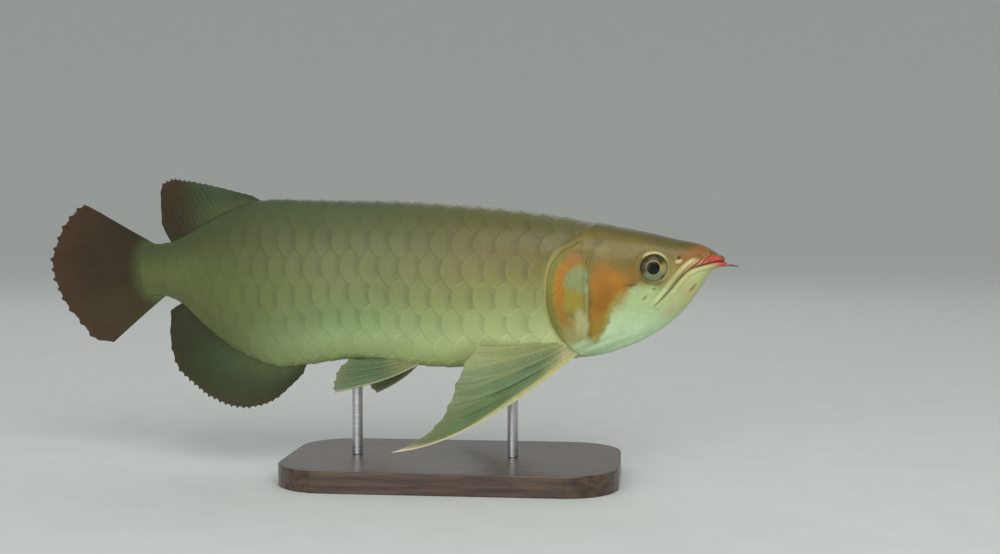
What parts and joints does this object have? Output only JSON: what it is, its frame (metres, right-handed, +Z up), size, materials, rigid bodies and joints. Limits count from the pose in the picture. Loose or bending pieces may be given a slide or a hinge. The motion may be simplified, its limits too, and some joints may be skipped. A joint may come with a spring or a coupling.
{
  "type": "asian arowana on a display stand",
  "caption": "Life-size still model of an Asian arowana with big scales, upturned mouth, chin barbels and rayed fins, held over a flat base by short rods.",
  "frame": {"origin": "centre of the underside of the stand's base", "axes": "+X towards the fish's snout, +Y towards its left side, +Z up"},
  "size_m": [0.4174, 0.1108, 0.1715],
  "materials": {
    "head": "wet skin, olive with an orange cheek",
    "lower_jaw": "wet skin, pale green",
    "gill_cover_left": "glossy, orange and olive",
    "gill_cover_right": "glossy, orange and olive",
    "eye_left": "clear and wet",
    "eye_right": "clear and wet",
    "barbel_left": "wet skin, reddish",
    "barbel_right": "wet skin, reddish",
    "trunk": "satin scales, olive above and pale green below",
    "tail": "satin scales, olive above and pale green below",
    "dorsal_fin": "thin skin, brown maroon",
    "anal_fin": "thin skin, brown maroon",
    "caudal_fin": "thin skin, brown maroon",
    "pectoral_fin_left": "thin skin, pale olive",
    "pectoral_fin_right": "thin skin, pale olive",
    "pelvic_fin_left": "thin skin, pale olive",
    "pelvic_fin_right": "thin skin, pale olive",
    "stand_base": "dark stained, satin varnish",
    "stand_rod_front": "brushed",
    "stand_rod_rear": "brushed"
  },
  "bodies": {
    "root": {"head": "head", "lower_jaw": "lower_jaw", "gill_cover_left": "gill_cover_left", "gill_cover_right": "gill_cover_right", "eye_left": "eye_left", "eye_right": "eye_right", "barbel_left": "barbel_left", "barbel_right": "barbel_right", "trunk": "trunk", "tail": "tail", "dorsal_fin": "dorsal_fin", "anal_fin": "anal_fin", "caudal_fin": "caudal_fin", "pectoral_fin_left": "pectoral_fin_left", "pectoral_fin_right": "pectoral_fin_right", "pelvic_fin_left": "pelvic_fin_left", "pelvic_fin_right": "pelvic_fin_right", "stand_base": "stand_base", "stand_rod_front": "stand_rod_front", "stand_rod_rear": "stand_rod_rear"}
  },
  "joints": []
}
